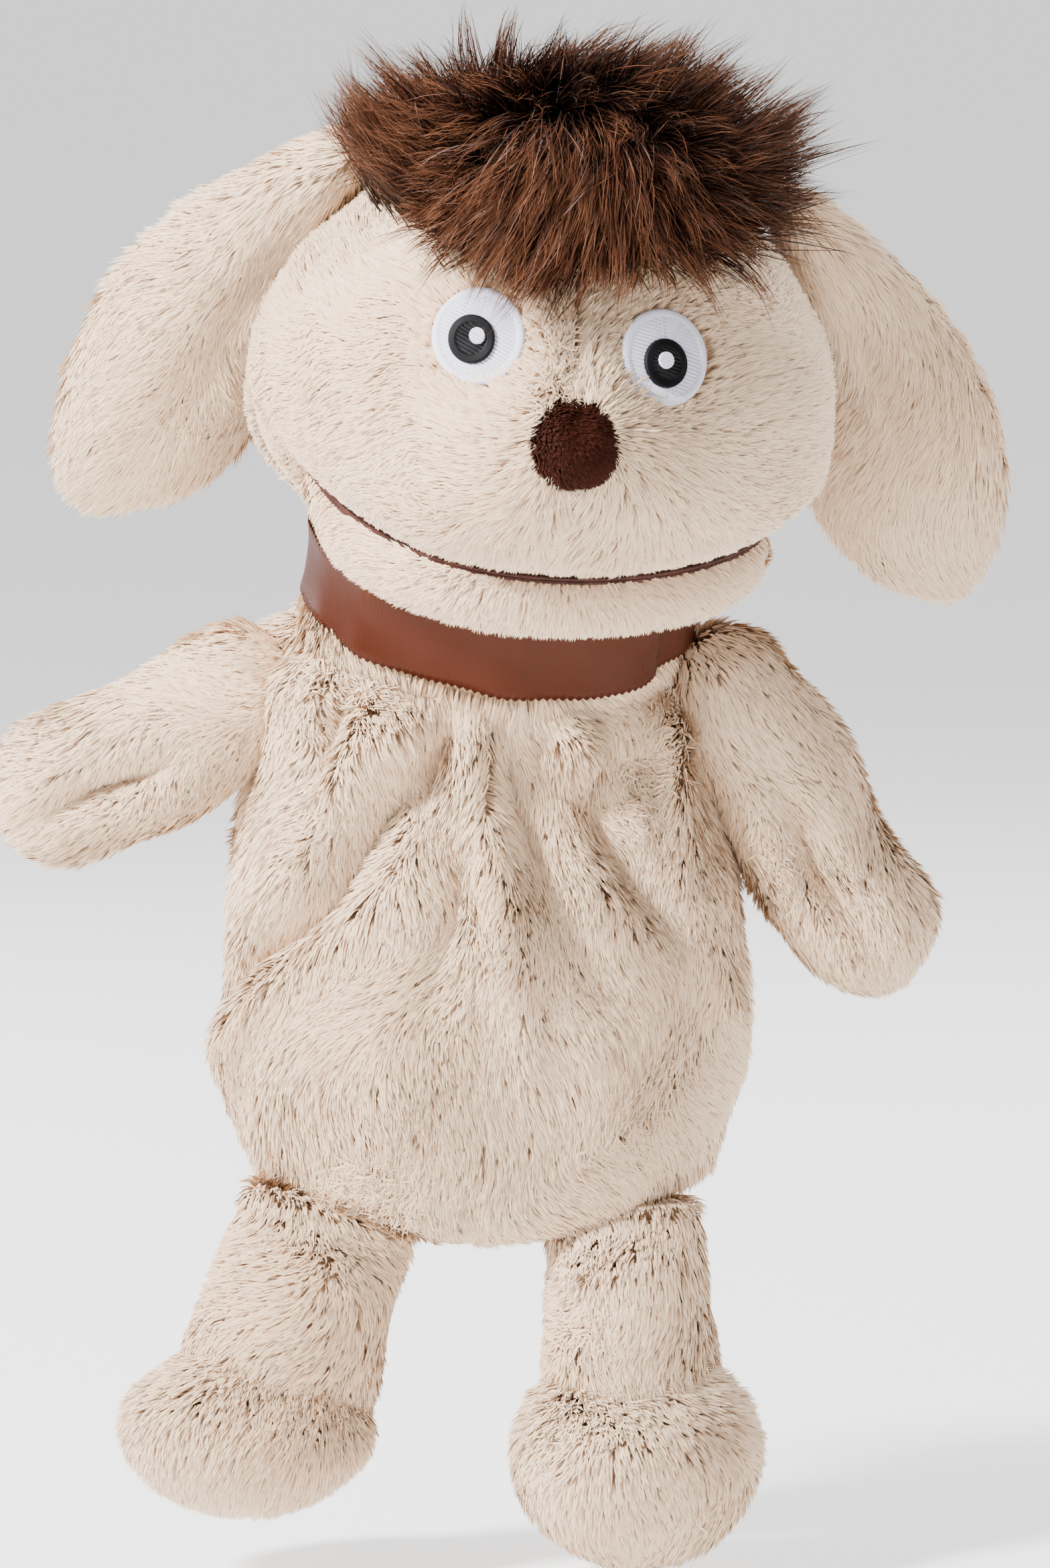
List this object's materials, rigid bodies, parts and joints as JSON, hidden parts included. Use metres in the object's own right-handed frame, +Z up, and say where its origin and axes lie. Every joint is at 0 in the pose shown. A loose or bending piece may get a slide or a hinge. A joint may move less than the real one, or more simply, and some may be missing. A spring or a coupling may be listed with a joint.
{
  "type": "plush dog hand puppet",
  "caption": "Plush dog hand puppet: loose sleeve body, mouth that opens, drooping ears, shaggy hair tuft, satin collar, floppy arms and dangling stuffed legs.",
  "frame": {"origin": "middle of the hand opening at the sleeve's lower rim", "axes": "+Z up along the sleeve towards the head, -Y the way the dog faces, +X the dog's left"},
  "size_m": [0.2064, 0.1101, 0.2952],
  "materials": {
    "cream_plush": "short-pile plush",
    "filling": "polyester fibre",
    "lining": "woven lining",
    "mouth_felt": "felt",
    "nose_plush": "short-pile plush",
    "tuft_fur": "long-pile faux fur",
    "ribbon": "satin",
    "eye_white": "embroidered rayon thread",
    "eye_black": "embroidered rayon thread"
  },
  "bodies": {
    "sleeve": {"body_front": "cream_plush", "body_back": "cream_plush"},
    "neck": {"neck_tube": "cream_plush"},
    "collar": {"collar_ribbon": "ribbon"},
    "head": {"face_left_panel": "cream_plush", "face_right_panel": "cream_plush", "head_back_panel": "cream_plush", "head_filling": "filling", "finger_pocket": "lining", "upper_mouth_felt": "mouth_felt", "nose": "nose_plush", "tuft_backing": "tuft_fur", "hair_tuft": "tuft_fur", "left_eye_white": "eye_white", "left_eye_pupil": "eye_black", "left_eye_glint": "eye_white", "right_eye_white": "eye_white", "right_eye_pupil": "eye_black", "right_eye_glint": "eye_white"},
    "jaw": {"jaw_skin": "cream_plush", "lower_mouth_felt": "mouth_felt", "thumb_pocket": "lining"},
    "left_ear": {"left_ear_front": "cream_plush", "left_ear_back": "cream_plush"},
    "right_ear": {"right_ear_front": "cream_plush", "right_ear_back": "cream_plush"},
    "left_arm": {"left_arm_front": "cream_plush", "left_arm_back": "cream_plush", "left_arm_filling": "filling"},
    "right_arm": {"right_arm_front": "cream_plush", "right_arm_back": "cream_plush", "right_arm_filling": "filling"},
    "left_thigh": {"left_thigh_front": "cream_plush", "left_thigh_back": "cream_plush", "left_thigh_filling": "filling"},
    "left_foot": {"left_foot_upper": "cream_plush", "left_foot_sole": "cream_plush", "left_foot_filling": "filling"},
    "right_thigh": {"right_thigh_front": "cream_plush", "right_thigh_back": "cream_plush", "right_thigh_filling": "filling"},
    "right_foot": {"right_foot_upper": "cream_plush", "right_foot_sole": "cream_plush", "right_foot_filling": "filling"}
  },
  "joints": [
    {"name": "head_nod", "type": "hinge", "parent": "sleeve", "child": "neck", "pos_m": [0, 0, 0.106], "axis": [-1, 0, 0], "range_deg": [-12, 15]},
    {"name": "head_tilt", "type": "hinge", "parent": "neck", "child": "collar", "pos_m": [-0.001, -0.002, 0.126], "axis": [-0.0457, -0.9272, -0.3718], "range_deg": [-5, 8]},
    {"name": "head_turn", "type": "hinge", "parent": "collar", "child": "head", "pos_m": [-0.001, -0.002, 0.126], "axis": [0.113, -0.3746, 0.9203], "range_deg": [-22, 22]},
    {"name": "jaw_open", "type": "hinge", "parent": "head", "child": "jaw", "pos_m": [0.00697, -0.02366, 0.14347], "axis": [0.9892, 0.129, -0.0689], "range_deg": [0, 28], "stiffness_Nm_per_rad": 0.02, "springref_deg": -14.32},
    {"name": "left_ear_lift", "type": "hinge", "parent": "head", "child": "left_ear", "pos_m": [0.05823, 0.00216, 0.20207], "axis": [0.1111, -0.9693, -0.2195], "range_deg": [0, 70]},
    {"name": "right_ear_lift", "type": "hinge", "parent": "head", "child": "right_ear", "pos_m": [-0.0407, -0.01074, 0.20897], "axis": [-0.1111, 0.9693, 0.2195], "range_deg": [0, 70]},
    {"name": "left_arm_raise", "type": "hinge", "parent": "sleeve", "child": "left_arm", "pos_m": [0.053, 0.002, 0.103], "axis": [0, -1, 0], "range_deg": [-6, 58], "stiffness_Nm_per_rad": 0.02, "springref_deg": 2.86},
    {"name": "right_arm_raise", "type": "hinge", "parent": "sleeve", "child": "right_arm", "pos_m": [-0.0585, 0.002, 0.103], "axis": [0, 1, 0], "range_deg": [-32, 32], "stiffness_Nm_per_rad": 0.02, "springref_deg": 2.86},
    {"name": "left_hip_swing", "type": "hinge", "parent": "sleeve", "child": "left_thigh", "pos_m": [0.024, -0.015, -0.002], "axis": [-0.9986, 0, -0.0523], "range_deg": [-30, 50]},
    {"name": "left_ankle_flex", "type": "hinge", "parent": "left_thigh", "child": "left_foot", "pos_m": [0.02538, -0.015, -0.02836], "axis": [-0.9986, 0, -0.0523], "range_deg": [-14, 14], "stiffness_Nm_per_rad": 0.01},
    {"name": "right_hip_swing", "type": "hinge", "parent": "sleeve", "child": "right_thigh", "pos_m": [-0.036, -0.015, -0.002], "axis": [-0.9511, 0, 0.309], "range_deg": [-30, 50]},
    {"name": "right_ankle_flex", "type": "hinge", "parent": "right_thigh", "child": "right_foot", "pos_m": [-0.04416, -0.015, -0.02711], "axis": [-0.9511, 0, 0.309], "range_deg": [-14, 14], "stiffness_Nm_per_rad": 0.01}
  ]
}
